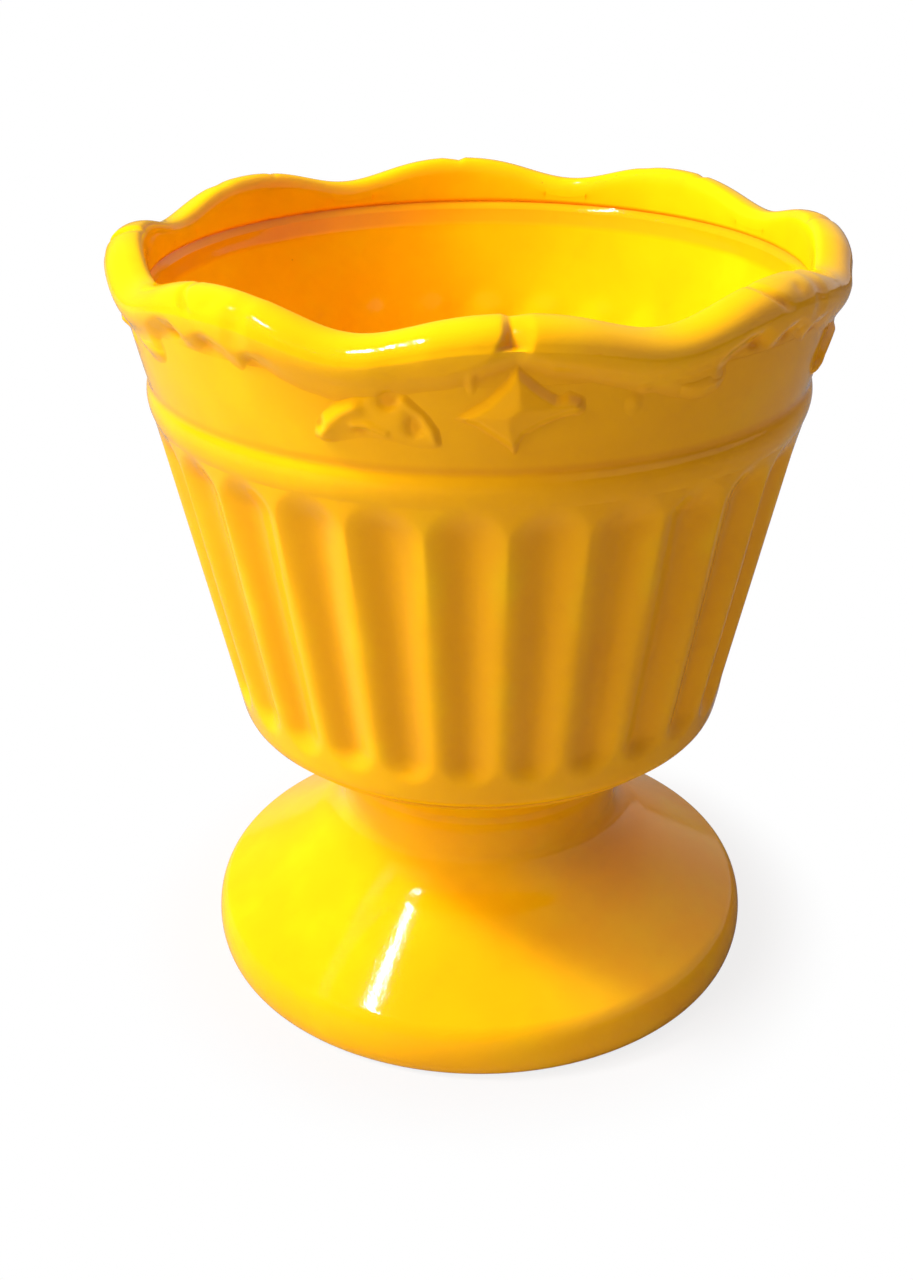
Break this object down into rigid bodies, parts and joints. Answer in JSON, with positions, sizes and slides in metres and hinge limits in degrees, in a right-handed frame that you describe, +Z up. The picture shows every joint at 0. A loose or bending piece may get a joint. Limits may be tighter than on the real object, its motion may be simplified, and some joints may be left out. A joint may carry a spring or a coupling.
{
  "type": "footed flower vase",
  "caption": "Footed ceramic flower vase: fluted round bowl with a ruffled lip and relief collar on a hollow trumpet foot.",
  "frame": {"origin": "on the table at the centre of the foot's standing ring", "axes": "+Z up along the axis of revolution, towards the mouth; -Y is the front, where a main crest of the lip and a diamond leaf face the viewer"},
  "size_m": [0.1424, 0.1424, 0.1602],
  "materials": {
    "glaze": "high gloss yellow glaze",
    "sprig_glaze": "high gloss yellow glaze, thin on the raised edges"
  },
  "bodies": {
    "root": {"pedestal_foot": "glaze", "luting_ring": "glaze", "bowl": "glaze", "collar": "glaze", "ruffled_lip": "glaze", "diamond_leaf_1": "sprig_glaze", "diamond_leaf_2": "sprig_glaze", "diamond_leaf_3": "sprig_glaze", "diamond_leaf_4": "sprig_glaze", "leaf_tuft_1": "sprig_glaze", "leaf_tuft_2": "sprig_glaze", "leaf_tuft_3": "sprig_glaze", "leaf_tuft_4": "sprig_glaze", "hook_leaf_1": "sprig_glaze", "hook_leaf_2": "sprig_glaze", "hook_leaf_3": "sprig_glaze", "hook_leaf_4": "sprig_glaze"}
  },
  "joints": []
}
